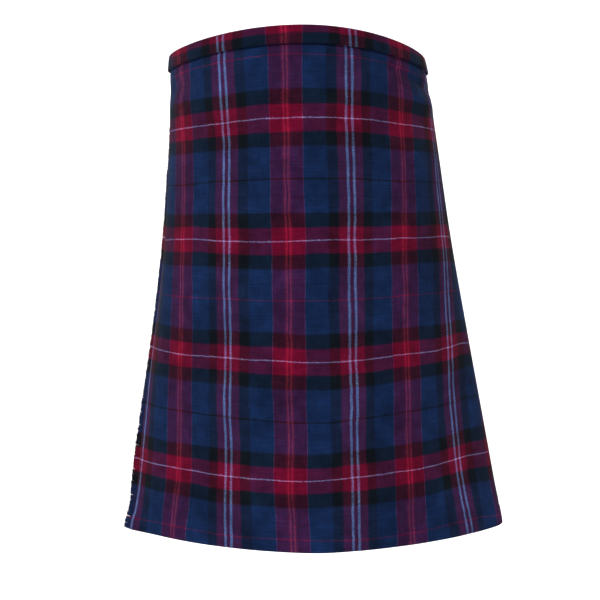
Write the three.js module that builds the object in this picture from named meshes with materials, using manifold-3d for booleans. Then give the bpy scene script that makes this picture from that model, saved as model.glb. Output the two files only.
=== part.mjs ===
// A kilt as it is worn, with no wearer in it: one long cloth lapped in front and knife-pleated behind,
// a folded waistband, and a strap and buckle at each hip. Millimetres, +Z up, the wearer faces -Y.
// The origin is the middle of the waist, level with the straps.
import * as THREE from 'three';
import { mergeVertices } from 'three/addons/utils/BufferGeometryUtils.js';
import Module from 'manifold-3d';

// ---- driving dimensions ----
const CLOTH = 1.0; // wall of one ply
const GAP = 0.3; // clearance between neighbouring pieces
const PLY = 1.7; // from one folded leaf to the next
const LENGTH = 608; // top edge to hem
const UNDER_DROP = 2; // the under apron hangs this much lower
const STRAP_DROP = 40; // top edge to the middle of the straps
const WAIST_BACK = 119; // front of the waist to its middle
const BAND = 20; // depth of the waistband outside
const BAND_INSIDE = 18; // and inside
const BAND_GAP = 0.5; // between the band and the cloth it covers
const HEM = 21; // width of the turned-up hem
const PLEATS = 22;
const PLEAT_REACH = 3; // a leaf runs back under this many visible strips
const LAP = 37; // the over apron's free edge hides the last pleat fold by this
const LAP_DEPTH = 4.6; // room under the free edge for the strap
const FRINGE = 12; // reach of the frayed edge
const FLARE = 4.5; // how far its tips stand out
const APRON_COLUMNS = 24;

// The round of the kilt at six depths, from its top edge to its hem.
// side depths are from the front to the widest line, back is from the front to the back of the pleats,
// bow is the superellipse power of the front, droop is how far a weft row sinks at each side,
// edge and free are the over apron's pressed and free edges, round the cloth from the front middle.
const SECTIONS = [
  { drop: 0, half: 158, rightSide: 138, leftSide: 130, back: 238, bow: 1.95, shift: -2, front: 2,
    rightDroop: 20, leftDroop: 24, edge: 215, free: 257 },
  { drop: 100, half: 166.7, rightSide: 140, leftSide: 124, back: 268, bow: 1.82, shift: 4.3, front: 2,
    rightDroop: 11, leftDroop: 10, edge: 220, free: 252 },
  { drop: 240, half: 181, rightSide: 139, leftSide: 117, back: 284, bow: 1.68, shift: 10, front: 1,
    rightDroop: 3, leftDroop: 0, edge: 230, free: 253.5 },
  { drop: 380, half: 200.5, rightSide: 137, leftSide: 108, back: 288, bow: 1.58, shift: 13.5, front: -1,
    rightDroop: 0, leftDroop: -9, edge: 241, free: 256 },
  { drop: 520, half: 223.5, rightSide: 135, leftSide: 98, back: 289, bow: 1.52, shift: 14.5, front: -4,
    rightDroop: -2, leftDroop: -15, edge: 256, free: 256 },
  { drop: 608, half: 236.7, rightSide: 132, leftSide: 87, back: 290, bow: 1.58, shift: 16.8, front: -8,
    rightDroop: -4, leftDroop: -6, edge: 262, free: 256 },
];
const BACK_BOW = 2.2; // superellipse power of the pleated half
const CLOTH_DROPS = [0, BAND, 90, 180, 280, 385, 490];

// ---- the surface that the cloth hangs on ----

// Every column of SECTIONS at one drop, by a smooth curve through its rows.
function shapeAt(drop) {
  const last = SECTIONS.length - 1;
  let i = 0;
  while (i < last - 1 && drop > SECTIONS[i + 1].drop) i++;
  const low = SECTIONS[i];
  const high = SECTIONS[i + 1];
  const span = high.drop - low.drop;
  const t = (drop - low.drop) / span;
  const shape = {};
  for (const key of Object.keys(low)) {
    const before = SECTIONS[Math.max(i - 1, 0)];
    const after = SECTIONS[Math.min(i + 2, last)];
    const slopeIn = (high[key] - before[key]) / (high.drop - before.drop);
    const slopeOut = (after[key] - low[key]) / (after.drop - low.drop);
    const h = t * t * (3 - 2 * t);
    shape[key] = low[key] * (1 - h) + high[key] * h
      + span * (slopeIn * t * (1 - t) ** 2 - slopeOut * t * t * (1 - t));
  }
  return shape;
}

// A ring of the surface at one drop: points with their distance round the cloth from the front middle.
// It runs to +X, round the back and on to -X.
function makeRing(drop) {
  const shape = shapeAt(drop);
  const steps = 480;
  const points = [];
  const along = [0];
  for (let i = 0; i <= steps; i++) {
    const turn = (i / steps) * 2 * Math.PI;
    const sine = Math.sin(turn);
    const cosine = Math.cos(turn);
    const side = sine < 0 ? shape.rightSide : shape.leftSide;
    const droop = sine < 0 ? shape.rightDroop : shape.leftDroop;
    const power = 2 / (cosine > 0 ? shape.bow : BACK_BOW);
    const reach = Math.abs(cosine) ** power;
    const x = shape.shift + shape.half * Math.sign(sine) * Math.abs(sine) ** power;
    const y = cosine > 0
      ? shape.front + side * (1 - reach)
      : shape.front + side + (shape.back - shape.front - side) * reach;
    points.push(new THREE.Vector3(x, y - WAIST_BACK, STRAP_DROP - drop - droop * sine * sine));
    if (i > 0) {
      const step = points[i].clone().sub(points[i - 1]);
      along.push(along[i - 1] + Math.hypot(step.x, step.y));
    }
  }
  const length = along[steps];
  const strip = (length - shape.free + LAP - shape.edge) / PLEATS;
  return { points, along, length, edge: shape.edge, free: shape.free, strip };
}

const rings = new Map();
function ringAt(drop) {
  if (!rings.has(drop)) rings.set(drop, makeRing(drop));
  return rings.get(drop);
}

function onRing(ring, u) {
  const round = ((u % ring.length) + ring.length) % ring.length;
  let low = 0;
  let high = ring.along.length - 1;
  while (high - low > 1) {
    const middle = (low + high) >> 1;
    if (ring.along[middle] <= round) low = middle;
    else high = middle;
  }
  const part = (round - ring.along[low]) / (ring.along[high] - ring.along[low]);
  return ring.points[low].clone().lerp(ring.points[high], part);
}

// The outward direction, level, taken over a short chord so that a pressed edge turns softly.
function outward(ring, u) {
  const chord = 8;
  const way = onRing(ring, u + chord).sub(onRing(ring, u - chord));
  return new THREE.Vector3(way.y, -way.x, 0).normalize();
}

// A point at a distance round the cloth and a depth inside it.
function place(drop, u, depth) {
  const ring = ringAt(drop);
  return onRing(ring, u).addScaledVector(outward(ring, u), -depth);
}

function ease(x) {
  const t = Math.min(Math.max(x, 0), 1);
  return t * t * (3 - 2 * t);
}

// How far the pleats lie inside the surface where the over apron's free edge laps them.
function lapDepth(ring, u) {
  const start = ring.length - ring.free - LAP - 50;
  return LAP_DEPTH * ease((u - start) / 60);
}

// Depth of the under apron, at a distance round from the front middle.
function underDepth(ring, u) {
  const last = -ring.free + LAP;
  const inside = 2 * PLY + LAP_DEPTH;
  const front = 5.2;
  const behind = 14.8;
  const start = ring.edge - 2 * ring.strip - 110;
  return inside + (front - inside) * ease((u - last) / 75) + (behind - front) * ease((u - start) / 50);
}

// ---- solids ----

function solid(positions, index) {
  let volume = 0;
  for (let i = 0; i < index.length; i += 3) {
    const [a, b, c] = [positions[index[i]], positions[index[i + 1]], positions[index[i + 2]]];
    volume += a.dot(b.clone().cross(c));
  }
  if (volume < 0) index.reverse();
  const geometry = new THREE.BufferGeometry();
  const numbers = positions.flatMap((point) => point.toArray());
  geometry.setAttribute('position', new THREE.Float32BufferAttribute(numbers, 3));
  geometry.setIndex(index);
  return geometry;
}

// A closed wall from rows of points on its two faces: rows[i].face[j] lies against rows[i].back[j].
// rows[0].around, where it is given, is how far round each column is: leaves that double back are split
// along the same diagonal as the ones that they lie on.
function wall(rows) {
  const columns = rows[0].face.length;
  const { around } = rows[0];
  const positions = [];
  for (const row of rows) positions.push(...row.face, ...row.back);
  const face = (i, j) => i * 2 * columns + j;
  const back = (i, j) => (i * 2 + 1) * columns + j;
  const index = [];
  const quad = (a, b, c, d) => index.push(a, b, c, a, c, d);
  const end = rows.length - 1;
  for (let j = 0; j < columns - 1; j++) {
    const doubled = around && around[j + 1] < around[j];
    for (let i = 0; i < end; i++) {
      const near = [face(i, j), face(i + 1, j), face(i + 1, j + 1), face(i, j + 1)];
      const far = [back(i, j), back(i, j + 1), back(i + 1, j + 1), back(i + 1, j)];
      if (doubled) near.push(near.shift());
      if (doubled) far.push(far.shift());
      quad(...near);
      quad(...far);
    }
    quad(face(0, j), face(0, j + 1), back(0, j + 1), back(0, j));
    quad(face(end, j), back(end, j), back(end, j + 1), face(end, j + 1));
  }
  for (let i = 0; i < end; i++) {
    quad(face(i, 0), back(i, 0), back(i + 1, 0), face(i + 1, 0));
    quad(face(i, columns - 1), face(i + 1, columns - 1), back(i + 1, columns - 1), back(i, columns - 1));
  }
  return solid(positions, index);
}

// A closed bar from loops of points, one loop at each station.
function bar(loops) {
  const sides = loops[0].length;
  const positions = loops.flat();
  const index = [];
  for (let i = 0; i < loops.length - 1; i++) {
    for (let j = 0; j < sides; j++) {
      const next = (j + 1) % sides;
      const [a, b, c, d] = [i * sides + j, (i + 1) * sides + j, (i + 1) * sides + next, i * sides + next];
      index.push(a, b, c, a, c, d);
    }
  }
  return { positions, index, last: (loops.length - 1) * sides };
}

const wasm = await Module();
wasm.setup();

function toManifold(geometry) {
  const bare = geometry.clone();
  for (const name of Object.keys(bare.attributes)) {
    if (name !== 'position') bare.deleteAttribute(name);
  }
  const merged = mergeVertices(bare, 1e-4);
  const vertProperties = new Float32Array(merged.attributes.position.array);
  const triVerts = new Uint32Array(merged.index.array);
  return new wasm.Manifold(new wasm.Mesh({ numProp: 3, vertProperties, triVerts }));
}

function cut(geometry, tools) {
  let body = toManifold(geometry);
  for (const tool of tools) body = body.subtract(toManifold(tool));
  const mesh = body.getMesh();
  const result = new THREE.BufferGeometry();
  result.setAttribute('position', new THREE.Float32BufferAttribute(mesh.vertProperties, 3));
  result.setIndex([...mesh.triVerts]);
  return result;
}

const kilt = new THREE.Group();

function add(name, geometry, material) {
  geometry.computeVertexNormals();
  const mesh = new THREE.Mesh(geometry, material);
  mesh.name = name;
  kilt.add(mesh);
}

const tartan = { color: 0x4b1a2c, roughness: 0.9, metalness: 0 };
const leather = { color: 0x15110f, roughness: 0.45, metalness: 0 };
const steel = { color: 0xb9bcc0, roughness: 0.25, metalness: 1 };
const finish = (look) => new THREE.MeshStandardMaterial(look);

// ---- over apron: from its free edge round the front to its pressed edge, and back under to the seam ----

// Distance round of one of the apron's columns, shared with the waistband. The last ones are half a
// strip apart, so that they match the leaves beneath.
function apronColumn(ring, j) {
  const close = 4;
  const plain = APRON_COLUMNS - close;
  const start = ring.edge - (close / 2) * ring.strip;
  if (j >= plain) return start + (j - plain) * (ring.strip / 2);
  return -ring.free + (ring.free + start) * (j / plain);
}

// Depth of a pleat leaf whose fold is at one place, seen at another: the leaves lie like shingles.
function leafDepth(ring, fold, u) {
  return (2 * PLY / ring.strip) * (fold - u);
}

function apronRow(drop, plies) {
  const ring = ringAt(drop);
  const thick = CLOTH + (plies - 1) * PLY;
  const face = [];
  const back = [];
  const around = [];
  for (let j = 0; j < APRON_COLUMNS; j++) {
    const u = apronColumn(ring, j);
    face.push(place(drop, u, 0));
    back.push(place(drop, u, j < APRON_COLUMNS - 1 ? thick : CLOTH));
    around.push(u);
  }
  const fold = ring.edge;
  face.push(place(drop, fold + CLOTH, 0));
  back.push(place(drop, fold, CLOTH));
  around.push(fold);
  for (let j = 0; j < PLEAT_REACH; j++) {
    const u = fold - j * ring.strip;
    const depth = PLY - GAP + leafDepth(ring, fold, u);
    face.push(place(drop, u + (j === 0 ? CLOTH : 0), depth + CLOTH));
    back.push(place(drop, u, depth));
    around.push(u);
  }
  return { face, back, around };
}

// Rows of a piece with a turned-up hem, which is one ply thicker below the line of its stitches.
function hemmedRows(makeRow, length) {
  const stitch = length - HEM;
  const rows = CLOTH_DROPS.map((drop) => makeRow(drop, 1));
  rows.push(makeRow(stitch - 0.5, 1), makeRow(stitch + 0.5, 2), makeRow(length, 2));
  return rows;
}

add('over_apron', wall(hemmedRows(apronRow, LENGTH)), finish(tartan));

function fringeRow(drop) {
  const ring = ringAt(drop);
  const from = -ring.free - GAP;
  return {
    face: [place(drop, from - FRINGE, -FLARE), place(drop, from, 0)],
    back: [place(drop, from - FRINGE, CLOTH - FLARE), place(drop, from, CLOTH)],
  };
}
const fringeDrops = [BAND + 2, ...CLOTH_DROPS.slice(2), LENGTH - HEM, LENGTH];
add('over_apron_fringe', wall(fringeDrops.map(fringeRow)), finish(tartan));

// ---- pleated back: a leaf out to each fold and a leaf back under it ----

function pleatRow(drop) {
  const ring = ringAt(drop);
  const face = [];
  const back = [];
  const around = [];
  const put = (list, fold, u, extra) => {
    list.push(place(drop, u, leafDepth(ring, fold, u) + lapDepth(ring, u) + extra));
  };
  for (let k = 1; k <= PLEATS; k++) {
    const fold = ring.edge + k * ring.strip;
    for (let j = PLEAT_REACH; j >= 0; j--) {
      const u = fold - j * ring.strip;
      put(face, fold, j === 0 ? u + CLOTH : u, 0);
      put(back, fold, j === PLEAT_REACH && k > 1 ? u - CLOTH : u, CLOTH);
      around.push(u);
    }
    for (let j = 0; j < PLEAT_REACH; j++) {
      const u = fold - j * ring.strip;
      put(face, fold, j === 0 ? u + CLOTH : u, PLY + CLOTH);
      put(back, fold, j === PLEAT_REACH - 1 && k < PLEATS ? u - CLOTH : u, PLY);
      around.push(u);
    }
  }
  return { face, back, around };
}
const pleatedBack = wall([...CLOTH_DROPS, LENGTH - HEM, LENGTH].map(pleatRow));

// ---- under apron: from the last pleat, beneath the over apron, to a plain edge at the wearer's left ----

function underRow(drop, plies) {
  const ring = ringAt(drop);
  const thick = CLOTH + (plies - 1) * PLY;
  const last = -ring.free + LAP;
  const end = ring.edge - 22;
  const face = [];
  const back = [];
  for (let j = PLEAT_REACH - 1; j > 0; j--) {
    const u = last - j * ring.strip;
    const depth = 2 * PLY + leafDepth(ring, last, u) + lapDepth(ring, u + ring.length);
    face.push(place(drop, u, depth));
    back.push(place(drop, u, depth + CLOTH));
  }
  for (let j = 0; j <= APRON_COLUMNS; j++) {
    const u = last + (end - last) * (j / APRON_COLUMNS);
    face.push(place(drop, u, underDepth(ring, u)));
    back.push(place(drop, u, underDepth(ring, u) + (j > 0 ? thick : CLOTH)));
  }
  return { face, back };
}
add('under_apron', wall(hemmedRows(underRow, LENGTH + UNDER_DROP)), finish(tartan));

// ---- waistband: a strip folded over the top edge ----

// One stretch of the band: columns(ring) gives the places round it, and the cloth's two depths at each.
function band(columns) {
  const outer = BAND_GAP + CLOTH;
  const lines = [
    { drop: BAND, out: -outer, of: 'near' },
    { drop: -outer, out: -outer, of: 'near' },
    { drop: -outer, out: outer, of: 'far' },
    { drop: BAND_INSIDE, out: outer, of: 'far' },
    { drop: BAND_INSIDE, out: BAND_GAP, of: 'far' },
    { drop: -BAND_GAP, out: BAND_GAP, of: 'far' },
    { drop: -BAND_GAP, out: -BAND_GAP, of: 'near' },
    { drop: BAND, out: -BAND_GAP, of: 'near' },
  ];
  const stations = lines.map((line) => columns(ringAt(line.drop)));
  const loops = stations[0].map((_, i) => lines.map((line, j) => {
    const at = stations[j][i];
    return place(line.drop, at.u, at[line.of] + line.out);
  }));
  const { positions, index, last } = bar(loops);
  for (const start of [0, last]) {
    const turn = start === 0;
    for (const [a, b, c, d] of [[0, 1, 6, 7], [1, 2, 5, 6], [2, 3, 4, 5]]) {
      const corner = turn ? [a, b, c, d] : [d, c, b, a];
      const [p, q, r, s] = corner.map((i) => i + start);
      index.push(p, q, r, p, r, s);
    }
  }
  return solid(positions, index);
}

function bandColumns(ring) {
  const columns = [];
  const inner = ring.edge - 2 * ring.strip;
  const shingles = 2 * PLY * PLEAT_REACH;
  for (let j = 0; j <= APRON_COLUMNS; j++) {
    const u = apronColumn(ring, j);
    columns.push({ u, near: 0, far: CLOTH + shingles * ease((u - inner + 45) / 20) });
  }
  for (let k = 1; k <= PLEATS; k++) {
    const u = ring.edge + k * ring.strip;
    const near = lapDepth(ring, u);
    columns.push({ u, near, far: near + CLOTH + shingles });
  }
  return columns;
}
add('waistband_outer', band(bandColumns), finish(tartan));

function underBandColumns(ring) {
  const from = -ring.free + LAP + 2;
  const to = ring.edge - 22;
  const columns = [];
  for (let j = 0; j <= APRON_COLUMNS; j++) {
    const u = from + (to - from) * (j / APRON_COLUMNS);
    const near = underDepth(ring, u);
    columns.push({ u, near, far: near + CLOTH });
  }
  return columns;
}
add('waistband_under', band(underBandColumns), finish(tartan));

// ---- straps and buckles ----
// Each strap runs back from an apron edge: x is the distance behind that edge, h the height over the cloth.

const STRAP = 28; // width
const STRAP_THICK = 1.8;
const TAB = 26; // width of the buckle tab
const TAB_THICK = 1.6;
const WIRE = 2.6; // buckle frame
const PRONG = 1.0; // radius of the prong
const FRONT_BAR = 52; // x of the buckle's front bar
const HEEL_BAR = 76; // x of the bar that the tab holds
const BAR_HEIGHT = 4.6; // h of the heel bar
const TAB_END = 118;
const STRAP_END = 134;
const KEEPER = 100;
const HOLES = [92, 112]; // x of the spare holes
const KEEPER_THICK = 1.2;

const sides = {
  left: { way: 1, edge: (ring) => ring.edge },
  right: { way: -1, edge: (ring) => -ring.free },
};

// A point by the strap: x behind the apron's edge, h over the cloth, w above the strap's middle line.
function byStrap(side, x, h, w) {
  const ring = ringAt(STRAP_DROP);
  const u = side.edge(ring) + side.way * x;
  const lap = side.way < 0 ? lapDepth(ring, u + ring.length) : 0;
  const reach = 8;
  const along = place(STRAP_DROP, u + reach, 0).sub(place(STRAP_DROP, u - reach, 0));
  const rise = place(STRAP_DROP - reach, u, 0).sub(place(STRAP_DROP + reach, u, 0));
  const out = along.clone().cross(rise).normalize();
  const up = out.clone().cross(along).normalize();
  return place(STRAP_DROP, u, lap).addScaledVector(out, h).addScaledVector(up, w);
}

// A flat strip along a path of { x, h } and, where it narrows, its half width.
function strip(side, path, half, thick) {
  const rows = [-1, 0, 1].map((row) => {
    const face = [];
    const back = [];
    path.forEach((point, i) => {
      const before = path[Math.max(i - 1, 0)];
      const after = path[Math.min(i + 1, path.length - 1)];
      const way = new THREE.Vector2(after.x - before.x, after.h - before.h).normalize();
      const w = row * (point.half ?? half);
      const lift = thick / 2;
      face.push(byStrap(side, point.x - way.y * lift, point.h + way.x * lift, w));
      back.push(byStrap(side, point.x + way.y * lift, point.h - way.x * lift, w));
    });
    return { face, back };
  });
  return wall(rows);
}

// The buckle's own flat frame: its origin between the bars, X from heel to front, Z outwards.
function buckleMatrix(side) {
  const heel = byStrap(side, HEEL_BAR, BAR_HEIGHT, 0);
  const front = byStrap(side, FRONT_BAR, BAR_HEIGHT + 0.8, 0);
  const along = front.clone().sub(heel).normalize();
  const up = byStrap(side, HEEL_BAR, BAR_HEIGHT, 5);
  up.sub(byStrap(side, HEEL_BAR, BAR_HEIGHT, -5)).normalize();
  const out = along.clone().cross(up).normalize();
  if (side.way > 0) out.negate();
  const across = out.clone().cross(along);
  const middle = heel.addScaledVector(along, (HEEL_BAR - FRONT_BAR) / 2);
  return new THREE.Matrix4().makeBasis(along, across, out).setPosition(middle);
}

function roundedRectangle(width, height, radius) {
  const shape = new THREE.Shape();
  const [x, y] = [width / 2, height / 2];
  shape.moveTo(-x + radius, -y);
  shape.lineTo(x - radius, -y);
  shape.absarc(x - radius, -y + radius, radius, -Math.PI / 2, 0);
  shape.lineTo(x, y - radius);
  shape.absarc(x - radius, y - radius, radius, 0, Math.PI / 2);
  shape.lineTo(-x + radius, y);
  shape.absarc(-x + radius, y - radius, radius, Math.PI / 2, Math.PI);
  shape.lineTo(-x, -y + radius);
  shape.absarc(-x + radius, -y + radius, radius, Math.PI, 1.5 * Math.PI);
  return shape;
}

function buckleFrame(side) {
  const span = HEEL_BAR - FRONT_BAR;
  const shape = roundedRectangle(span + WIRE, STRAP + 3 + 2 * WIRE, 4);
  shape.holes.push(roundedRectangle(span - WIRE, STRAP + 3, 2.5));
  const bevel = 0.6;
  const geometry = new THREE.ExtrudeGeometry(shape, {
    depth: WIRE - 2 * bevel, bevelThickness: bevel, bevelSize: bevel, bevelOffset: -bevel,
    bevelSegments: 2, curveSegments: 4,
  });
  geometry.translate(0, 0, bevel - WIRE / 2);
  return geometry.applyMatrix4(buckleMatrix(side));
}

// A round wire hooked over the heel bar, lying across the frame with its tip on the front bar.
function prong(side, radius) {
  const span = HEEL_BAR - FRONT_BAR;
  const hook = WIRE / 2 + GAP + PRONG;
  const points = [];
  for (const degrees of [-60, -105, -150, 165, 120, 75]) {
    const turn = THREE.MathUtils.degToRad(degrees);
    points.push(new THREE.Vector3(-span / 2 + hook * Math.cos(turn), 0, hook * Math.sin(turn)));
  }
  points.push(new THREE.Vector3(-span / 4, 0, hook + 0.3));
  points.push(new THREE.Vector3(span / 4, 0, hook + 0.3));
  points.push(new THREE.Vector3(span / 2 + 3.5, 0, hook));
  const section = new THREE.Shape().absarc(0, 0, radius, 0, 2 * Math.PI);
  const geometry = new THREE.ExtrudeGeometry(section, {
    extrudePath: new THREE.CatmullRomCurve3(points), steps: 28, curveSegments: 5, bevelEnabled: false,
  });
  return geometry.applyMatrix4(buckleMatrix(side));
}

function holePunch(side, x, h) {
  const middle = byStrap(side, x, h, 0);
  const way = byStrap(side, x, h + 5, 0).sub(middle).normalize();
  const geometry = new THREE.CylinderGeometry(2, 2, 12, 16);
  geometry.applyQuaternion(new THREE.Quaternion().setFromUnitVectors(new THREE.Vector3(0, 1, 0), way));
  return geometry.translate(middle.x, middle.y, middle.z);
}

// Heights of the strap's middle: on the cloth, over the wrapped heel bar, and along the tab.
const ON_CLOTH = 0.6 + STRAP_THICK / 2;
const TAB_LOWER = 0.5 + TAB_THICK / 2;
const TAB_UPPER = TAB_LOWER + TAB_THICK + 0.4;
const WRAP = WIRE / 2 + 0.95 + TAB_THICK / 2;
const OVER_HEEL = BAR_HEIGHT + WRAP + TAB_THICK / 2 + 0.5 + STRAP_THICK / 2;
const OVER_TAB = TAB_UPPER + TAB_THICK / 2 + 0.4 + STRAP_THICK / 2;

// The run of both straps from where they come clear of the aprons.
const strapRun = [
  { x: 44, h: ON_CLOTH },
  { x: 55, h: ON_CLOTH },
  { x: 59, h: ON_CLOTH + 0.9 },
  { x: 70, h: OVER_HEEL - 1.2 },
  { x: 74, h: OVER_HEEL },
  { x: 79, h: OVER_HEEL },
  { x: 84, h: OVER_HEEL - 1.6 },
  { x: 90, h: OVER_TAB },
  { x: 105, h: OVER_TAB },
  { x: STRAP_END - 12, h: OVER_TAB },
  { x: STRAP_END - 4, h: OVER_TAB, half: 10.5 },
  { x: STRAP_END, h: OVER_TAB, half: 5 },
];

const inside = underDepth(ringAt(STRAP_DROP), ringAt(STRAP_DROP).edge) + CLOTH + 1.8;
const starts = {
  left: [
    { x: -78, h: -inside },
    { x: -50, h: -inside },
    { x: -14, h: -inside },
    { x: -5, h: -inside + 0.8 },
    { x: 4, h: -inside + 5.5 },
    { x: 20, h: -2.6 },
    { x: 26, h: 0.6 },
    { x: 32, h: ON_CLOTH },
  ],
  right: [
    { x: -40, h: ON_CLOTH + 0.2 },
    { x: -20, h: ON_CLOTH + 0.2 },
    { x: 0, h: ON_CLOTH + 0.2 },
    { x: 14, h: ON_CLOTH },
    { x: 30, h: ON_CLOTH },
  ],
};

// Leather folded round the heel bar, its two plies sewn to the pleats.
function tabPath() {
  const path = [
    { x: TAB_END, h: TAB_LOWER },
    { x: 98, h: TAB_LOWER },
    { x: HEEL_BAR + 4, h: TAB_LOWER },
  ];
  for (const degrees of [-90, -135, 180, 135, 90]) {
    const turn = THREE.MathUtils.degToRad(degrees);
    path.push({ x: HEEL_BAR + WRAP * Math.cos(turn), h: BAR_HEIGHT + WRAP * Math.sin(turn) });
  }
  path.push({ x: HEEL_BAR + 8, h: TAB_UPPER + 0.4 }, { x: 98, h: TAB_UPPER }, { x: TAB_END, h: TAB_UPPER });
  return path;
}

// A slot in the fold of the tab, for the hook of the prong.
function tabSlot(side) {
  const slot = new THREE.BoxGeometry(9, 4, 12);
  slot.translate(-(HEEL_BAR - FRONT_BAR) / 2 + 0.5, 0, 0);
  return slot.applyMatrix4(buckleMatrix(side));
}

// A strip bridging the strap, its feet sewn down beside the tab.
function keeper(side) {
  const inner = STRAP / 2 + 0.5;
  const top = OVER_TAB + STRAP_THICK / 2 + 0.4;
  const foot = 0.6;
  const outline = [
    { w: -inner, h: foot, out: -1, up: 0 }, { w: -inner, h: top, out: -1, up: 1 },
    { w: inner, h: top, out: 1, up: 1 }, { w: inner, h: foot, out: 1, up: 0 },
  ];
  const rows = [KEEPER - 4, KEEPER + 4].map((x) => ({
    face: outline.map((p) => byStrap(side, x, p.h + p.up * KEEPER_THICK, p.w + p.out * KEEPER_THICK)),
    back: outline.map((p) => byStrap(side, x, p.h, p.w)),
  }));
  return wall(rows);
}

for (const [name, side] of Object.entries(sides)) {
  const path = [...starts[name], ...strapRun];
  const punches = HOLES.map((x) => holePunch(side, x, OVER_TAB));
  const strap = strip(side, path, STRAP / 2, STRAP_THICK);
  add(`${name}_strap`, cut(strap, [prong(side, PRONG + 0.5), ...punches]), finish(leather));
  const tab = strip(side, tabPath(), TAB / 2, TAB_THICK);
  add(`${name}_buckle_tab`, cut(tab, [tabSlot(side)]), finish(leather));
  add(`${name}_buckle_frame`, buckleFrame(side), finish(steel));
  add(`${name}_buckle_prong`, prong(side, PRONG), finish(steel));
  add(`${name}_keeper`, keeper(side), finish(leather));
}

// The slit in the pleats that lets the under apron's strap out.
const slit = strip(sides.left, starts.left, STRAP / 2 + 0.6, STRAP_THICK + 0.9);
add('pleated_back', cut(pleatedBack, [slit]), finish(tartan));

export default kilt;
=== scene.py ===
import math
import random
import bmesh
import bpy
import numpy as np
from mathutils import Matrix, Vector


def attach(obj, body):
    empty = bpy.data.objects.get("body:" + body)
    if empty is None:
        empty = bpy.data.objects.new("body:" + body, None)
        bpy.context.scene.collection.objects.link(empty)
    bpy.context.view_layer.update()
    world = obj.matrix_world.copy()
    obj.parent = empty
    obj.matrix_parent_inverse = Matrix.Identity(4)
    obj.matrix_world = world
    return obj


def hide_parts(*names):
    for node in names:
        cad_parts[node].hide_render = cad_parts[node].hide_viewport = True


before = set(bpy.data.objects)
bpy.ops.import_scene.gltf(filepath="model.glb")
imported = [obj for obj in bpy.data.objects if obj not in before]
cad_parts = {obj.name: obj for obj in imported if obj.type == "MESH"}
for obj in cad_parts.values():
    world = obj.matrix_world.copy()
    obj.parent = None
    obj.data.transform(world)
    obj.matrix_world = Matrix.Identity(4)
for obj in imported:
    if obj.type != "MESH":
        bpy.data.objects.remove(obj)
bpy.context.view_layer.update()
scene = bpy.context.scene

# ---- the room ----
# A roll of pale paper makes the floor and sweeps up behind, with two soft lamps before the kilt and one over
# the paper. The kilt hangs at the height of a wearer's waist, so the floor is well below its hem.
FLOOR = -1.05
PAPER_FRONT = -4.0
PAPER_HALF = 6.0
PAPER_TOP = 5.0
BEND_START = 2.6
BEND_RADIUS = 1.5
BEND_STEPS = 12
PAPER_TONE = 0.88
paper_line = [(PAPER_FRONT, FLOOR)]
for step in range(BEND_STEPS + 1):
    turn = math.pi / 2 * step / BEND_STEPS
    paper_line.append((BEND_START + BEND_RADIUS * math.sin(turn),
                       FLOOR + BEND_RADIUS * (1 - math.cos(turn))))
paper_line.append((BEND_START + BEND_RADIUS, PAPER_TOP))
floor_mesh = bpy.data.meshes.new("floor")
floor_mesh.from_pydata(
    [(x, y, z) for y, z in paper_line for x in (-PAPER_HALF, PAPER_HALF)], [],
    [(2 * i, 2 * i + 1, 2 * i + 3, 2 * i + 2) for i in range(len(paper_line) - 1)])
floor_mesh.polygons.foreach_set("use_smooth", [True] * len(floor_mesh.polygons))
floor = bpy.data.objects.new("floor", floor_mesh)
scene.collection.objects.link(floor)
paper = bpy.data.materials.new("pale paper")
paper.use_nodes = True
shader = paper.node_tree.nodes["Principled BSDF"]
shader.inputs["Base Color"].default_value = (PAPER_TONE, PAPER_TONE, PAPER_TONE, 1)
shader.inputs["Roughness"].default_value = 0.9
floor_mesh.materials.append(paper)

world = bpy.data.worlds.new("soft room")
scene.world = world
world.use_nodes = True
world.node_tree.nodes["Background"].inputs["Color"].default_value = (1.0, 1.0, 1.0, 1)
world.node_tree.nodes["Background"].inputs["Strength"].default_value = 0.5
LAMPS = [
    # name, place, what it points at, size, watts
    ("key", (-1.7, -2.1, 1.1), (0, 0, -0.25), 1.2, 64),
    ("fill", (1.9, -1.8, 0.3), (0, 0, -0.3), 1.8, 14),
    ("sweep", (0, 1.2, 2.6), (0, 3.5, -0.4), 3.0, 170),
]
for name, spot, aim, size, watts in LAMPS:
    light = bpy.data.lights.new(name, "AREA")
    light.size = size
    light.energy = watts
    lamp = bpy.data.objects.new(name, light)
    lamp.location = spot
    lamp.rotation_euler = (Vector(aim) - Vector(spot)).to_track_quat("-Z", "Y").to_euler()
    scene.collection.objects.link(lamp)

# The camera is a little above the middle of the kilt, and a little to the wearer's right.
CAMERA_TURN = math.radians(5.0)
CAMERA_PITCH = math.radians(5.45)
CAMERA_REACH = 1.370
CAMERA_MIDDLE = 0.001
CAMERA_HEIGHT = -0.151
camera = bpy.data.objects.new("camera", bpy.data.cameras.new("camera"))
camera.data.lens = 65.4
camera.data.sensor_width = 36
camera.location = (-CAMERA_REACH * math.sin(CAMERA_TURN),
                   CAMERA_MIDDLE - CAMERA_REACH * math.cos(CAMERA_TURN), CAMERA_HEIGHT)
camera.rotation_euler = (math.pi / 2 - CAMERA_PITCH, 0, -CAMERA_TURN)
scene.collection.objects.link(camera)
scene.camera = camera
scene.view_settings.view_transform = "Standard"

# ---- over apron ----
# The plain front of the kilt: one width of wool tartan from its frayed edge, round to a pressed edge. The
# first leaf of the deep pleat is turned under it, and its hem is turned up and blind-stitched.

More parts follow.
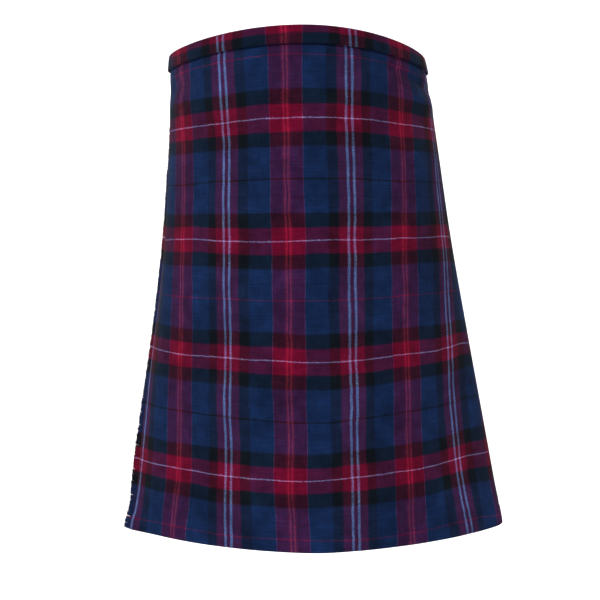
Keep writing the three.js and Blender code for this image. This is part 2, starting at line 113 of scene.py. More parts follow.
# Sizes are in millimetres. "drop" is down from the top edge, and "u" is round the cloth from the middle of
# the front, to the wearer's left.
MM = 0.001
WAIST_MIDDLE = 119  # from the front of the waist to the middle of the body
STRAP_DROP = 40  # where the straps' middle line is
LENGTH = 608  # top edge to hem
HEM = 21  # width of the turned-up hem
PLY = 1.7  # from one layer of cloth to the next
CLOTH = 1.0  # room that each layer has
SHEET = 0.8  # thickness of the cloth
PLEATS = 22
LAP = 37  # how far the free edge laps past the last pleat
BACK_BOW = 2.2  # how round the back is: 2 is an ellipse
RING_STEPS = 720
COLUMNS = ("drop", "half", "right_side", "left_side", "back", "bow", "shift", "front",
           "right_droop", "left_droop", "edge", "free", "stripe")
SECTIONS = [
    # drop, half width, depth of the right and left side, back, bow of the front, shift aside, front,
    # droop of the right and left side, pressed edge, free edge, and the middle red stripe
    (0, 158, 138, 130, 238, 1.95, -2, 2, 20, 24, 215, 257, -27.3),
    (100, 166.7, 140, 124, 268, 1.82, 4.3, 2, 11, 10, 220, 252, -31),
    (240, 181, 139, 117, 284, 1.68, 10, 1, 3, 0, 230, 253.5, -34),
    (380, 200.5, 137, 108, 288, 1.58, 13.5, -1, 0, -9, 241, 256, -36.5),
    (520, 223.5, 135, 98, 289, 1.52, 14.5, -4, -2, -15, 256, 256, -36.2),
    (608, 236.7, 132, 87, 290, 1.58, 16.8, -8, -4, -6, 262, 256, -36.5),
]


def shape_at(drop):
    """The sizes at a drop, on a smooth curve through the rows of SECTIONS."""
    rows = [dict(zip(COLUMNS, row)) for row in SECTIONS]
    last = len(rows) - 1
    i = 0
    while i < last - 1 and drop > rows[i + 1]["drop"]:
        i += 1
    low, high = rows[i], rows[i + 1]
    before, after = rows[max(i - 1, 0)], rows[min(i + 2, last)]
    span = high["drop"] - low["drop"]
    t = (drop - low["drop"]) / span
    h = t * t * (3 - 2 * t)
    shape = {}
    for key in COLUMNS:
        slope_in = (high[key] - before[key]) / (high["drop"] - before["drop"])
        slope_out = (after[key] - low[key]) / (after["drop"] - low["drop"])
        shape[key] = (low[key] * (1 - h) + high[key] * h
                      + span * (slope_in * t * (1 - t) ** 2 - slope_out * t * t * (1 - t)))
    return shape


rings = {}


def ring_at(drop):
    """The line of the hanging cloth round the body at a drop, with its length and its sizes."""
    if drop in rings:
        return rings[drop]
    shape = shape_at(drop)
    turn = np.linspace(0, 2 * math.pi, RING_STEPS + 1)
    sine, cosine = np.sin(turn), np.cos(turn)
    side = np.where(sine < 0, shape["right_side"], shape["left_side"])
    droop = np.where(sine < 0, shape["right_droop"], shape["left_droop"])
    power = np.where(cosine > 0, 2 / shape["bow"], 2 / BACK_BOW)
    reach = np.abs(cosine) ** power
    x = shape["shift"] + shape["half"] * np.sign(sine) * np.abs(sine) ** power
    y = np.where(cosine > 0, shape["front"] + side * (1 - reach),
                 shape["front"] + side + (shape["back"] - shape["front"] - side) * reach)
    points = np.stack([x, y - WAIST_MIDDLE, STRAP_DROP - drop - droop * sine ** 2], axis=1)
    steps = np.hypot(*np.diff(points[:, :2], axis=0).T)
    along = np.concatenate([[0], np.cumsum(steps)])
    shape["points"], shape["along"], shape["length"] = points, along, along[-1]
    shape["strip"] = (along[-1] - shape["free"] + LAP - shape["edge"]) / PLEATS
    rings[drop] = shape
    return shape


def on_ring(ring, u):
    u = np.mod(u, ring["length"])
    return np.stack([np.interp(u, ring["along"], ring["points"][:, i]) for i in range(3)], axis=-1)


def place(drop, u, depth):
    """Points at distances round the cloth, and depths inside it."""
    ring = ring_at(drop)
    u = np.asarray(u, float)
    reach = 8
    way = on_ring(ring, u + reach) - on_ring(ring, u - reach)
    out = np.stack([way[..., 1], -way[..., 0]], axis=-1)
    out /= np.linalg.norm(out, axis=-1, keepdims=True)
    point = on_ring(ring, u)
    point[..., :2] -= out * np.asarray(depth, float)[..., None]
    return point


def ease(x):
    """0 below 0, 1 above 1, and smooth between."""
    t = np.clip(x, 0, 1)
    return t * t * (3 - 2 * t)


def gauss(x, middle, width):
    return np.exp(-((x - middle) / width) ** 2)


def leaf_depth(ring, fold, u):
    """Each pleat lies on the next two, so a leaf sinks as it runs back from its fold."""
    return (2 * PLY / ring["strip"]) * (fold - u)


def cloth_sheet(name, rows):
    """A sheet of cloth from rows of points and their places on the uncut cloth, warp and weft."""
    height, width = len(rows), len(rows[0][0])
    points = np.concatenate([row[0] for row in rows]) * MM
    maps = np.concatenate([row[1] for row in rows]) * MM
    faces = [(i * width + j, (i + 1) * width + j, (i + 1) * width + j + 1, i * width + j + 1)
             for i in range(height - 1) for j in range(width - 1)]
    mesh = bpy.data.meshes.new(name)
    mesh.from_pydata(points.tolist(), [], faces)
    layer = mesh.uv_layers.new(name="Cloth")
    index = np.empty(len(mesh.loops), dtype=int)
    mesh.loops.foreach_get("vertex_index", index)
    layer.data.foreach_set("uv", maps[index].ravel())
    mesh.polygons.foreach_set("use_smooth", [True] * len(mesh.polygons))
    piece = bpy.data.objects.new(name, mesh)
    scene.collection.objects.link(piece)
    solidify = piece.modifiers.new("thickness", "SOLIDIFY")
    solidify.thickness = SHEET * MM
    solidify.offset = 0
    return piece


# Soft troughs, and ridges where the depth is below 0: puckers at the belly, pulls from the straps at both
# hips, long soft folds where the cloth hangs free, and the corners of the hem.
FRONT_CREASES = [
    # u, drop, half width along u, half width along drop, depth, lean
    (-25, 150, 13, 8, 1.5, 0.1),
    (-31, 163, 17, 11, -1.4, 0.1),
    (-22, 194, 13, 12, 1.2, -0.1),
    (-34, 208, 16, 14, -0.9, 0.1),
    (118, 36, 26, 4, 2.4, 0.0),
    (148, 40, 24, 4, 3.2, 0.0),
    (180, 45, 26, 5, 4.6, 0.0),
    (160, 66, 42, 13, -3.4, 0.3),
    (150, 96, 30, 16, 1.6, 0.5),
    (-196, 46, 30, 9, 2.6, 0.0),
    (-180, 68, 36, 13, -2.0, -0.3),
    (-150, 104, 26, 18, 1.2, -0.5),
    (-246, 340, 15, 250, 2.2, 0.0),
    (-120, 400, 22, 160, 1.6, 0.02),
    (-88, 330, 15, 60, -1.0, 0.05),
    (120, 430, 26, 170, -1.5, -0.03),
    (62, 395, 20, 70, 1.2, 0.06),
    (-10, 420, 18, 90, -0.9, 0.02),
    (-60, 500, 18, 90, 1.3, 0.02),
    (20, 250, 24, 50, 0.8, 0.05),
    (200, 470, 14, 120, 1.8, -0.06),
    (172, 330, 16, 90, -1.2, 0.04),
    (-266, 612, 30, 30, -10.0, 0.0),
    (246, 600, 16, 24, -2.0, 0.0),
]
BAND_SEAM = 18.7  # drop of the waistband's lower edge, which pulls the cloth in
SEAM_DENT = 2.0


def front_creases(drop, u):
    """How deep the creases are along a row of the front."""
    total = np.zeros_like(u)
    for across, level, wide, tall, depth, lean in FRONT_CREASES:
        reach_down = math.exp(-((drop - level) / tall) ** 2)
        total += depth * gauss(u - lean * (drop - level), across, wide) * reach_down
    return total + SEAM_DENT * math.exp(-((drop - BAND_SEAM - 0.6) / 1.5) ** 2)


# The stripes swing aside from plumb where the cloth is pulled by its seams and its folds.
STRIPE_SWINGS = [
    # u, half width along u, drop where it starts, drop over which it grows, how far
    (-110, 38, -60, 50, -2.0),
    (-110, 38, 80, 50, 2.0),
    (-110, 38, 120, 80, -4.6),
    (37, 38, -60, 50, 1.4),
    (37, 42, 330, 200, 2.2),
    (183, 34, 250, 110, -5.0),
    (183, 34, 440, 90, 5.0),
    (190, 40, 530, 90, 11.0),
    (-185, 34, 515, 90, -8.0),
    (-250, 22, 400, 80, 2.5),
    (-250, 24, 505, 95, -4.5),
]
SIDE_U = 195  # past this, the cloth turns back round the hip and its weft lies more level
SIDE_LEVEL = 4.5


def stripe_swing(drop, u):
    total = np.zeros_like(u)
    for across, wide, start, growth, swing in STRIPE_SWINGS:
        total += swing * gauss(u, across, wide) * float(ease((drop - start) / growth))
    return total


TURNED = 1.2  # depth of the turned-up hem behind the outer layer


def hem_rows(length):
    """Rows down a hemmed piece: the drop, and how far the turned-up cloth lies inside the outer layer."""
    stitch = length - HEM
    rows = [(drop, 0.0) for drop in (0, 8, 14, 16.5, 18, 19.2, 20.4, 21.8, 23.5, 26)]
    rows += [(drop, 0.0) for drop in np.linspace(30, stitch - 4, 108)]
    rows += [(stitch - 1.5, 0.0), (stitch, 0.0), (stitch + 1.5, 0.0)]
    rows += [(drop, 0.0) for drop in np.linspace(stitch + 4, length - 0.8, 6)]
    rows += [(length - 0.2, 0.25), (length, 0.6), (length - 0.2, 1.0)]
    rows += [(drop, TURNED) for drop in np.linspace(length - 1.5, stitch, 4)]
    return rows


def hem_weft(drop, turned):
    """Where a row lies down the uncut cloth: the turned-up hem runs on past the bottom edge."""
    return drop if turned < TURNED else 2 * LENGTH - drop


def hem_dent(drop, length):
    """The pull of the blind stitches along the hem line, and the fuller cloth below it."""
    line = length - HEM
    return 0.45 * math.exp(-((drop - line) / 1.6) ** 2) - 0.25 * float(ease((drop - line) / 6))


FRONT_COLUMNS = 190
LEAF_COLUMNS = 12
FOLD_RADIUS = 0.9
FOLD_TURNS = np.radians([-70, -35, 0, 35, 70])
FOLD_WALK = np.radians([10, 30, 60, 90, 110]) * FOLD_RADIUS
apron_rows = []
for drop, turned in hem_rows(LENGTH):
    level = round(float(drop), 3)
    ring = ring_at(level)
    front = np.linspace(-ring["free"], ring["edge"] - 1.2, FRONT_COLUMNS)
    front_depth = CLOTH / 2 + front_creases(drop, front) + hem_dent(drop, LENGTH)
    fold = ring["edge"] + FOLD_RADIUS * np.cos(FOLD_TURNS) - 0.2
    fold_depth = 1.3 + 0.85 * np.sin(FOLD_TURNS)
    leaf = ring["edge"] - np.linspace(0.03, 2.0, LEAF_COLUMNS) * ring["strip"]
    inside_depth = PLY - 0.3 + CLOTH / 2 + leaf_depth(ring, ring["edge"], leaf)
    u = np.concatenate([front, fold, leaf])
    depth = np.concatenate([front_depth + turned, fold_depth + turned * 0.3, inside_depth + turned * 0.4])
    warp = np.concatenate([front, ring["edge"] + FOLD_WALK, 2 * ring["edge"] - leaf]) - ring["stripe"]
    warp -= stripe_swing(drop, u)
    weft = np.full_like(u, hem_weft(drop, turned))
    side = ease((np.minimum(u, ring["edge"]) - SIDE_U) / 55)
    weft -= SIDE_LEVEL * side * float(ease(drop / 380))
    apron_rows.append((place(level, u, depth), np.stack([warp, weft], axis=1)))
apron = cloth_sheet("over_apron_cloth", apron_rows)

# The tartan: warp and weft are each striped from a thread count, which runs from the middle of a band to the
# middle of the next and is mirrored there. Thread colours are as seen, and turned to light at the end.
RED = (0.385, 0.045, 0.175)
WEFT_RED = (0.365, 0.050, 0.155)
DEEP_RED = (0.42, 0.080, 0.20)
CORE_RED = (0.50, 0.06, 0.20)
FLAME = (0.78, 0.17, 0.27)
ROSE = (0.48, 0.25, 0.42)
SCARLET = (0.45, 0.12, 0.25)
BLUE = (0.088, 0.158, 0.292)
DUSK = (0.075, 0.115, 0.20)
BLACK = (0.085, 0.090, 0.125)
WEFT_BLACK = (0.055, 0.092, 0.115)
SKY = (0.61, 0.68, 0.93)
WHITE = (0.72, 0.71, 0.92)
WARP_HALF = 73.3
WARP_COUNT = [
    # from, colour
    (0, CORE_RED), (1.3, FLAME), (3.2, CORE_RED), (5.5, RED), (18.9, ROSE), (19.6, BLUE), (46, BLACK),
    (57.8, DEEP_RED), (67.9, SKY), (71.0, DEEP_RED),
]
WEFT_HALF = 140.6
WEFT_COUNT = [
    # from, colour
    (0, SCARLET), (0.5, BLUE), (19.4, DUSK), (20.0, BLUE), (38.4, WEFT_BLACK), (54.8, WEFT_RED),
    (69.8, WHITE), (70.8, WEFT_RED), (85.8, WEFT_BLACK), (102.2, BLUE), (120.8, DUSK), (121.4, BLUE),
    (139.6, WEFT_BLACK),
]
FIRST_SCARLET = 31.0  # drop of the first thin scarlet line
WEFT_SHARE = 0.60  # how much of the weft shows on the face
TWILL_PITCH = 1.9
GAMMA = 2.2
DRIFTS = [
    # size of the noise, and how far it carries a thread, in metres: folds, slack threads, and fuzz
    (9.0, 0.0075),
    (45.0, 0.0018),
    (1100.0, 0.0026),
]


def node(tree, kind, links=None, **settings):
    """A shader node with its settings, and its inputs linked or set."""
    made = tree.nodes.new(kind)
    for key, value in settings.items():
        setattr(made, key, value)
    for socket, value in (links or {}).items():
        if isinstance(value, bpy.types.NodeSocket):
            tree.links.new(value, made.inputs[socket])
        else:
            made.inputs[socket].default_value = value
    return made


def math_node(tree, operation, *values):
    return node(tree, "ShaderNodeMath", dict(enumerate(values)), operation=operation).outputs[0]


def scaled(tree, vector, scale):
    return node(tree, "ShaderNodeVectorMath", {0: vector, "Scale": scale}, operation="SCALE").outputs[0]


def stripes(tree, along, half, count, start):
    """Colour of the threads at a distance along the cloth, with each change of colour a little soft."""
    shifted = math_node(tree, "SUBTRACT", along, start * MM)
    folded = math_node(tree, "PINGPONG", shifted, half * MM)
    part = math_node(tree, "DIVIDE", folded, half * MM)
    ramp_node = node(tree, "ShaderNodeValToRGB", {0: part})
    ramp = ramp_node.color_ramp
    ends = [distance for distance, _ in count[1:]] + [half]
    ramp.elements[0].color = (*count[0][1], 1)
    ramp.elements[1].color = (*count[-1][1], 1)
    for i in range(1, len(count)):
        distance, colour = count[i]
        soft = min(0.18 * min(distance - count[i - 1][0], ends[i] - distance), 1.1)
        ramp.elements.new((distance - soft) / half).color = (*count[i - 1][1], 1)
        ramp.elements.new((distance + soft) / half).color = (*colour, 1)
    return ramp_node.outputs["Color"]


def weave_group():
    """Tartan twill: takes the cloth's own map, gives its colour and the height of its threads."""
    tree = bpy.data.node_groups.new("Tartan twill", "ShaderNodeTree")
    tree.interface.new_socket("Map", in_out="INPUT", socket_type="NodeSocketVector")
    tree.interface.new_socket("Weft share", in_out="INPUT", socket_type="NodeSocketFloat")
    tree.interface.new_socket("Colour", in_out="OUTPUT", socket_type="NodeSocketColor")
    tree.interface.new_socket("Height", in_out="OUTPUT", socket_type="NodeSocketFloat")
    start = node(tree, "NodeGroupInput")
    end = node(tree, "NodeGroupOutput")
    flat = start.outputs["Map"]

    def noise(vector, scale, detail):
        return node(tree, "ShaderNodeTexNoise", {"Vector": vector, "Scale": scale, "Detail": detail})

    eased = flat
    for scale, reach in DRIFTS:
        drift = noise(flat, scale, 1.0).outputs["Color"]
        centred = node(tree, "ShaderNodeVectorMath", {0: drift, 1: (0.5, 0.5, 0.5)}, operation="SUBTRACT")
        moved = scaled(tree, centred.outputs[0], reach)
        eased = node(tree, "ShaderNodeVectorMath", {0: eased, 1: moved}).outputs[0]
    apart = node(tree, "ShaderNodeSeparateXYZ", {0: eased})
    warp = stripes(tree, apart.outputs["X"], WARP_HALF, WARP_COUNT, 0)
    weft = stripes(tree, apart.outputs["Y"], WEFT_HALF, WEFT_COUNT, FIRST_SCARLET)

    # The twill's ribs and the slubs of the yarn bring now the warp, now the weft to the face.
    diagonal = math_node(tree, "ADD", apart.outputs["X"], apart.outputs["Y"])
    rib = math_node(tree, "SINE", math_node(tree, "MULTIPLY", diagonal, 2 * math.pi / (TWILL_PITCH * MM)))
    slub = noise(flat, 700.0, 2.0).outputs["Fac"]
    share = math_node(tree, "MULTIPLY_ADD", rib, 0.13, start.outputs["Weft share"])
    share = math_node(tree, "ADD", share, math_node(tree, "MULTIPLY_ADD", slub, 0.9, -0.45))
    yarns = []
    for colour, stretch in ((warp, (850, 45, 1)), (weft, (45, 850, 1))):
        drawn = node(tree, "ShaderNodeMapping", {"Vector": flat, "Scale": stretch})
        streak = noise(drawn.outputs[0], 1.0, 2.0).outputs["Fac"]
        yarns.append(scaled(tree, colour, math_node(tree, "MULTIPLY_ADD", streak, 0.7, 0.65)))
    mixed = node(tree, "ShaderNodeMix", {0: share, 6: yarns[0], 7: yarns[1]}, data_type="RGBA")

    # Patches of lighter and darker tone, small and wide, from two noises.
    tone = math_node(tree, "MULTIPLY_ADD", noise(flat, 55.0, 5.0).outputs["Fac"], 0.50, 0.44)
    tone = math_node(tree, "MULTIPLY_ADD", noise(flat, 13.0, 1.0).outputs["Fac"], 0.36, tone)
    toned = scaled(tree, mixed.outputs[2], tone)
    seen = node(tree, "ShaderNodeGamma", {"Color": toned, "Gamma": GAMMA})
    tree.links.new(seen.outputs["Color"], end.inputs["Colour"])
    tree.links.new(math_node(tree, "MULTIPLY_ADD", rib, 0.5, slub), end.inputs["Height"])
    return tree


weave = weave_group()


def tartan_material(name, weft_share):
    """Brushed wool cloth: quite matt, with a trace of sheen."""
    material = bpy.data.materials.new(name)
    material.use_nodes = True
    tree = material.node_tree
    shader = tree.nodes["Principled BSDF"]
    cloth_map = node(tree, "ShaderNodeUVMap", uv_map="Cloth")
    threads = node(tree, "ShaderNodeGroup", node_tree=weave)
    threads.inputs["Weft share"].default_value = weft_share
    tree.links.new(cloth_map.outputs["UV"], threads.inputs["Map"])
    tree.links.new(threads.outputs["Colour"], shader.inputs["Base Color"])
    bump = node(tree, "ShaderNodeBump", {"Height": threads.outputs["Height"]})
    bump.inputs["Strength"].default_value = 0.35
    bump.inputs["Distance"].default_value = 0.0003
    tree.links.new(bump.outputs["Normal"], shader.inputs["Normal"])
    shader.inputs["Roughness"].default_value = 0.95
    shader.inputs["Specular IOR Level"].default_value = 0.06
    shader.inputs["Sheen Weight"].default_value = 0.015
    shader.inputs["Sheen Roughness"].default_value = 0.5
    return material


tartan = tartan_material("tartan twill", WEFT_SHARE)
apron.data.materials.append(tartan)
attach(apron, "root")
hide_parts("over_apron")

# ---- self fringe ----
# The free edge of the over apron, frayed: the warp has been drawn away, and the weft threads stand out in
# small uneven tufts, a little off the cloth behind them.
random.seed(24)
FRINGE = 12  # how far the threads reach
FRINGE_TOP = 23.0  # just below the waistband
SHORT_ABOVE = 150  # above this drop, the fringe is worn shorter
FLARE = 4.5  # how far the tips stand out
GATHER = 0.05  # share by which a tuft's threads close up at their tips
TAPER = 0.22  # share by which a thread is thinner at its tip
STRAND_PITCH = 0.38  # from one thread to the next
STRAND_PARTS = (-0.12, 0.15, 0.4, 0.7, 1.0)
SIDES = 3
BARE_WEFT = 0.97  # weft share of the threads, whose warp is gone
fringe_points, fringe_faces, fringe_maps = [], [], []


def add_strand(drop, across, tuft, reach, lean, stand, thick, spin):
    """One thread of the tuft that starts at a drop: a thin prism, from inside the cloth to its tip."""
    level = drop + across
    start = round(drop, 3)
    calm = 1 - 0.8 * float(ease((level - LENGTH + 60) / 50))
    flare = FLARE * calm * reach / FRINGE
    base = len(fringe_points)
    for i, part in enumerate(STRAND_PARTS):
        run = max(part, 0)
        u = np.array(-ring_at(start)["free"] - reach * part)
        depth = CLOTH / 2 + front_creases(level, u) - stand * run - flare * run ** 1.3
        at = place(start, u, depth)
        at[2] -= across + (tuft / 2 - across) * GATHER * run * run + lean * reach * run
        size = thick * (1 - TAPER * run * run)
        for corner in range(SIDES):
            turn = 2 * math.pi * corner / SIDES + spin
            fringe_points.append((at[0] * MM, (at[1] + size * math.cos(turn)) * MM,
                                  (at[2] + size * math.sin(turn)) * MM))
            fringe_maps.append((0.15, level * MM))
        for corner in range(SIDES if i else 0):
            a, b = base + (i - 1) * SIDES + corner, base + (i - 1) * SIDES + (corner + 1) % SIDES
            fringe_faces.append((a, b, b + SIDES, a + SIDES))
    tip = base + (len(STRAND_PARTS) - 1) * SIDES
    fringe_faces.append((base + 2, base + 1, base))
    fringe_faces.append((tip, tip + 1, tip + 2))


drop = FRINGE_TOP
while drop < LENGTH - 1:
    tuft = random.uniform(2.6, 5.2)
    tuft_reach = FRINGE + random.uniform(-1.1, 0.2) - (3.0 if drop < SHORT_ABOVE else 0)
    tuft_reach -= 2.6 * math.exp(-((drop - 475) / 45) ** 2)
    tuft_lean = random.uniform(0.0, 0.035)
    strands = max(4, int(tuft / STRAND_PITCH))
    for strand in range(strands):
        across = tuft * (strand + 0.5) / strands
        if drop + across > LENGTH - 0.4:
            continue
        reach = tuft_reach * random.uniform(0.93, 1.0)
        lean = tuft_lean + random.uniform(-0.03, 0.03)
        stand = random.uniform(-0.5, 0.7)
        thick = random.uniform(0.58, 0.74)
        add_strand(drop, across, tuft, reach, lean, stand, thick, strand)
    drop += tuft
fringe_mesh = bpy.data.meshes.new("over_apron_threads")
fringe_mesh.from_pydata(fringe_points, [], fringe_faces)
layer = fringe_mesh.uv_layers.new(name="Cloth")
for loop in fringe_mesh.loops:
    layer.data[loop.index].uv = fringe_maps[loop.vertex_index]
shell = bmesh.new()
shell.from_mesh(fringe_mesh)
bmesh.ops.recalc_face_normals(shell, faces=shell.faces)
shell.to_mesh(fringe_mesh)
shell.free()
fringe = bpy.data.objects.new("over_apron_threads", fringe_mesh)
scene.collection.objects.link(fringe)
fringe_mesh.materials.append(tartan_material("frayed weft", BARE_WEFT))
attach(fringe, "root")
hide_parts("over_apron_fringe")

# ---- pleated back ----
# Knife pleats of the same cloth, all facing the wearer's right, stepped so that the check runs on across
# them. They are stitched down from the waist to the hip and hang free below, a little open and uneven.
random.seed(7)
HIP = 235
SHOWN = 25.0  # how much further along the cloth each pleat shows
FIRST_SHOWN = 32
LAP_DEPTH = 4.6  # room under the free edge for the strap
pleat_sway = [[random.uniform(-1, 1) for _ in range(3)] for _ in range(PLEATS + 1)]


def lap_depth(ring, u):
    """How far the last pleats are pressed in by the free edge and the strap under it."""
    start = ring["length"] - ring["free"] - LAP - 50
    return LAP_DEPTH * ease((u - start) / 60)


def hanging(drop):
    """0 where the pleats are stitched down, growing to 1 where they hang free."""
    return float(ease((drop - HIP) / 300))


def fold_place(ring, drop, k):
    """Distance round of fold k. The last fold lies still under the over apron's edge."""
    plain = ring["edge"] + k * ring["strip"]
    if k == PLEATS:
        return plain
    aside, swing, phase = pleat_sway[k]
    return plain + hanging(drop) * (aside * 1.6 + swing * 1.2 * math.sin(drop / 90 + 5 * phase))


def pleat_columns(ring, drop, k):
    """Columns of pleat k: its outer leaf up to the fold, round the fold, and the leaf turned under.
    Each gives the place round, the depth, and the place across the uncut cloth."""
    strip = ring["strip"]
    fold = fold_place(ring, drop, k)
    plain_fold = ring["edge"] + k * strip
    middle = ring_at(HIP)["edge"] + FIRST_SHOWN + k * SHOWN
    lift = 0.0 if k == PLEATS else hanging(drop) * (1.9 + 1.1 * pleat_sway[k][2])
    columns = []
    for part in (3.0, 2.5, 2.0, 1.5, 1.0, 0.75, 0.5, 0.25, 0.08):
        u = (fold if part < 1 else plain_fold) - part * strip
        fullness = 0.35 * math.sin(math.pi * min(part, 1)) - lift * max(0.0, 1 - part)
        columns.append((u, leaf_depth(ring, plain_fold, u) + CLOTH / 2 + fullness, middle - part * strip))
    for degrees in (-60, 0, 60):
        turn = math.radians(degrees)
        columns.append((fold + 0.3 + 0.7 * math.cos(turn),
                        0.85 + CLOTH / 2 + 0.75 * math.sin(turn) - lift, middle + 0.5 + degrees * 0.012))
    for part in (0.1, 0.5, 1.0, 1.5, 2.0):
        u = (fold if part < 1 else plain_fold) - part * strip
        depth = PLY + leaf_depth(ring, plain_fold, u) + CLOTH / 2 - lift * max(0.0, 1 - part) * 0.6
        columns.append((u, depth, middle + 1.5 + part * strip))
    return columns


STITCH = LENGTH - HEM
pleat_rows = []
for drop in np.concatenate([np.linspace(0, STITCH - 2, 44), [STITCH, STITCH + 2],
                            np.linspace(STITCH + 7, LENGTH, 4)]):
    level = round(float(drop), 3)
    ring = ring_at(level)
    columns = [column for k in range(1, PLEATS + 1) for column in pleat_columns(ring, drop, k)]
    u, depth, warp = np.array(columns).T
    points = place(level, u, depth + lap_depth(ring, u))
    pleat_rows.append((points, np.stack([warp, np.full_like(u, drop)], axis=1)))
pleats = cloth_sheet("pleated_back_cloth", pleat_rows)
pleats.data.materials.append(tartan)
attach(pleats, "root")
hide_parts("pleated_back")

# ---- under apron ----
# The other end of the cloth, hemmed in the same way: it runs from the last pleat beneath the over apron to
# the wearer's left hip. It hangs a little lower there, and is drawn up at its edge.
UNDER_DROP = 2  # how much longer it is than the over apron
UNDER_FRONT = 5.2  # depth behind the front
UNDER_SIDE = 14.8  # depth behind the first pleats at the wearer's left
UNDER_EDGE = 22  # its edge, short of the over apron's pressed edge
UNDER_STRIPE = 40  # how far its stripes lie from the over apron's
RISES = [
    # how far it is drawn up at the hem: u where it starts, u over which it grows, how far
    (172, 8, 3.5),
    (45, -30, 2.5),
]


def under_depth(ring, u):
    """From inside the last pleats, forward behind the front, and in again behind the first pleats."""
    last = -ring["free"] + LAP
    inside = 2 * PLY + LAP_DEPTH
    start = ring["edge"] - 2 * ring["strip"] - 110
    forward = (UNDER_FRONT - inside) * ease((u - last) / 75)
    return inside + forward + (UNDER_SIDE - UNDER_FRONT) * ease((u - start) / 50)


under_rows = []
for drop, turned in hem_rows(LENGTH + UNDER_DROP):
    level = round(float(drop), 3)
    ring = ring_at(level)
    last = -ring["free"] + LAP
    lead = last - np.array([1.95, 1.5, 1.0, 0.5]) * ring["strip"]
    rest = np.linspace(last, ring["edge"] - UNDER_EDGE, 90)
    u = np.concatenate([lead, rest])
    lead_depth = 2 * PLY + leaf_depth(ring, last, lead) + lap_depth(ring, lead + ring["length"])
    depth = np.concatenate([lead_depth, under_depth(ring, rest)]) + CLOTH / 2 + turned
    points = place(level, u, depth)
    for start, growth, rise in RISES:
        points[:, 2] += drop / LENGTH * rise * ease((u - start) / growth)
    weft = np.full_like(u, hem_weft(drop, turned))
    under_rows.append((points, np.stack([u - ring["stripe"] + UNDER_STRIPE, weft], axis=1)))
under = cloth_sheet("under_apron_cloth", under_rows)
under.data.materials.append(tartan)
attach(under, "root")
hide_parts("under_apron")

# ---- waistband ----
# A strip of the same cloth folded over the raw top edge and stitched through, outside and inside: one stretch
# on the over apron and the pleats, and one on the under apron.
BAND_RED = 6.5  # how much of the strip's red band shows below the top edge
RED_EDGE = FIRST_SCARLET + 85.8  # where that red band ends on the uncut cloth
BAND_STRIPE = 2.0  # how far the strip's stripes lie from the over apron's
BAND_SLIP = 9.0  # and how much less at the wearer's left of the middle
BAND_LINE = [
    # drop, side of the cloth that it covers, depth beyond that side: up the outside, over, down the inside
    (BAND_SEAM - 1, "near", -0.2), (BAND_SEAM, "near", -1.0), (BAND_SEAM + 0.1, "near", -1.7),
    (BAND_SEAM - 0.5, "near", -2.3),
    *[(drop, "near", -2.3 + (17 - drop) * 0.06) for drop in (16.5, 13.0, 9.0, 5.0, 2.0, 0.2)],
    (-0.9, "near", -0.6), (-1.3, "near", 0.3), (-1.3, "far", -0.3), (-0.9, "far", 0.5),
    *[(drop, "far", 1.0) for drop in (0.2, 4.0, 9.0, 14.0, 17.6)],
]


def band_sheet(name, columns):
    """columns(ring) gives the places round it, and the near and far depths of the cloth inside it."""
    rows = []
    for drop, side, beyond in BAND_LINE:
        ring = ring_at(drop)
        u, near, far = columns(ring)
        if side == "near":
            depth = near + beyond - 0.25 * math.sin(math.pi * min(max(drop / 20, 0), 1))
            weft = RED_EDGE + 1.04 * (drop - BAND_RED)
        else:
            depth = far + beyond
            weft = RED_EDGE - BAND_RED - 3 - drop
        warp = u - ring["stripe"] + BAND_STRIPE - BAND_SLIP * gauss(u, 45, 60)
        rows.append((place(drop, u, depth), np.stack([warp, np.full_like(u, weft)], axis=1)))
    return cloth_sheet(name, rows)


def outer_columns(ring):
    """From the free edge, round the front, and over the pleats where two columns cover each."""
    inner_end = ring["edge"] - 2 * ring["strip"]
    front = np.linspace(-ring["free"], inner_end - 46, 100)
    side = np.linspace(inner_end - 44, ring["edge"], 22)
    back = ring["edge"] + np.arange(1, 2 * PLEATS + 1) * ring["strip"] / 2
    u = np.concatenate([front, side, back])
    near = np.where(u > ring["edge"], lap_depth(ring, u), 0)
    far = near + CLOTH + 6 * PLY * ease((u - inner_end + 45) / 20)
    return u, near, far


def inner_columns(ring):
    u = np.linspace(-ring["free"] + LAP + 2, ring["edge"] - UNDER_EDGE, 90)
    near = under_depth(ring, u)
    return u, near, near + CLOTH


waistband = band_sheet("waistband_cloth", outer_columns)
inner_band = band_sheet("under_waistband_cloth", inner_columns)
for piece, replaced in ((waistband, "waistband_outer"), (inner_band, "waistband_under")):
    piece.data.materials.append(tartan)
    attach(piece, "root")
    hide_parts(replaced)

# ---- straps and buckles ----
# A leather strap at each hip runs through a plated steel buckle, which a folded leather tab holds, and its
# end lies under a leather keeper. Their shapes are the frame's own, and get their finishes here.


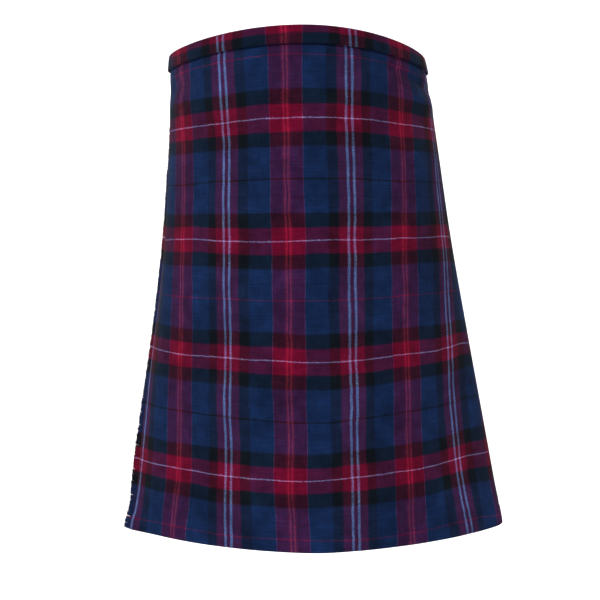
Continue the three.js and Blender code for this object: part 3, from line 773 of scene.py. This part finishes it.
def black_leather():
    """Bridle leather: close grain, slightly uneven in colour, with a dull polish."""
    material = bpy.data.materials.new("black bridle leather")
    material.use_nodes = True
    tree = material.node_tree
    shader = tree.nodes["Principled BSDF"]
    where = node(tree, "ShaderNodeTexCoord").outputs["Object"]
    grain = node(tree, "ShaderNodeTexVoronoi", {"Vector": where, "Scale": 900.0})
    tone = node(tree, "ShaderNodeTexNoise", {"Vector": where, "Scale": 70.0, "Detail": 4.0})
    dye = node(tree, "ShaderNodeValToRGB", {0: tone.outputs["Fac"]})
    dye.color_ramp.elements[0].color = (0.006, 0.005, 0.005, 1)
    dye.color_ramp.elements[1].color = (0.020, 0.017, 0.016, 1)
    tree.links.new(dye.outputs["Color"], shader.inputs["Base Color"])
    bump = node(tree, "ShaderNodeBump", {"Height": grain.outputs["Distance"]})
    bump.inputs["Strength"].default_value = 0.3
    bump.inputs["Distance"].default_value = 0.0002
    tree.links.new(bump.outputs["Normal"], shader.inputs["Normal"])
    shader.inputs["Roughness"].default_value = 0.46
    shader.inputs["Specular IOR Level"].default_value = 0.15
    return material


def plated_steel():
    """Bright plating with fine scuffs, which show only in its polish."""
    material = bpy.data.materials.new("plated steel")
    material.use_nodes = True
    tree = material.node_tree
    shader = tree.nodes["Principled BSDF"]
    where = node(tree, "ShaderNodeTexCoord").outputs["Object"]
    scuff = node(tree, "ShaderNodeTexNoise", {"Vector": where, "Scale": 300.0, "Detail": 5.0})
    rough = math_node(tree, "MULTIPLY_ADD", scuff.outputs["Fac"], 0.25, 0.12)
    tree.links.new(rough, shader.inputs["Roughness"])
    shader.inputs["Base Color"].default_value = (0.62, 0.63, 0.65, 1)
    shader.inputs["Metallic"].default_value = 1.0
    return material


leather = black_leather()
steel = plated_steel()
for side in ("left", "right"):
    for part, finish in (("strap", leather), ("buckle_tab", leather), ("keeper", leather),
                         ("buckle_frame", steel), ("buckle_prong", steel)):
        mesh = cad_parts[f"{side}_{part}"].data
        mesh.materials.clear()
        mesh.materials.append(finish)
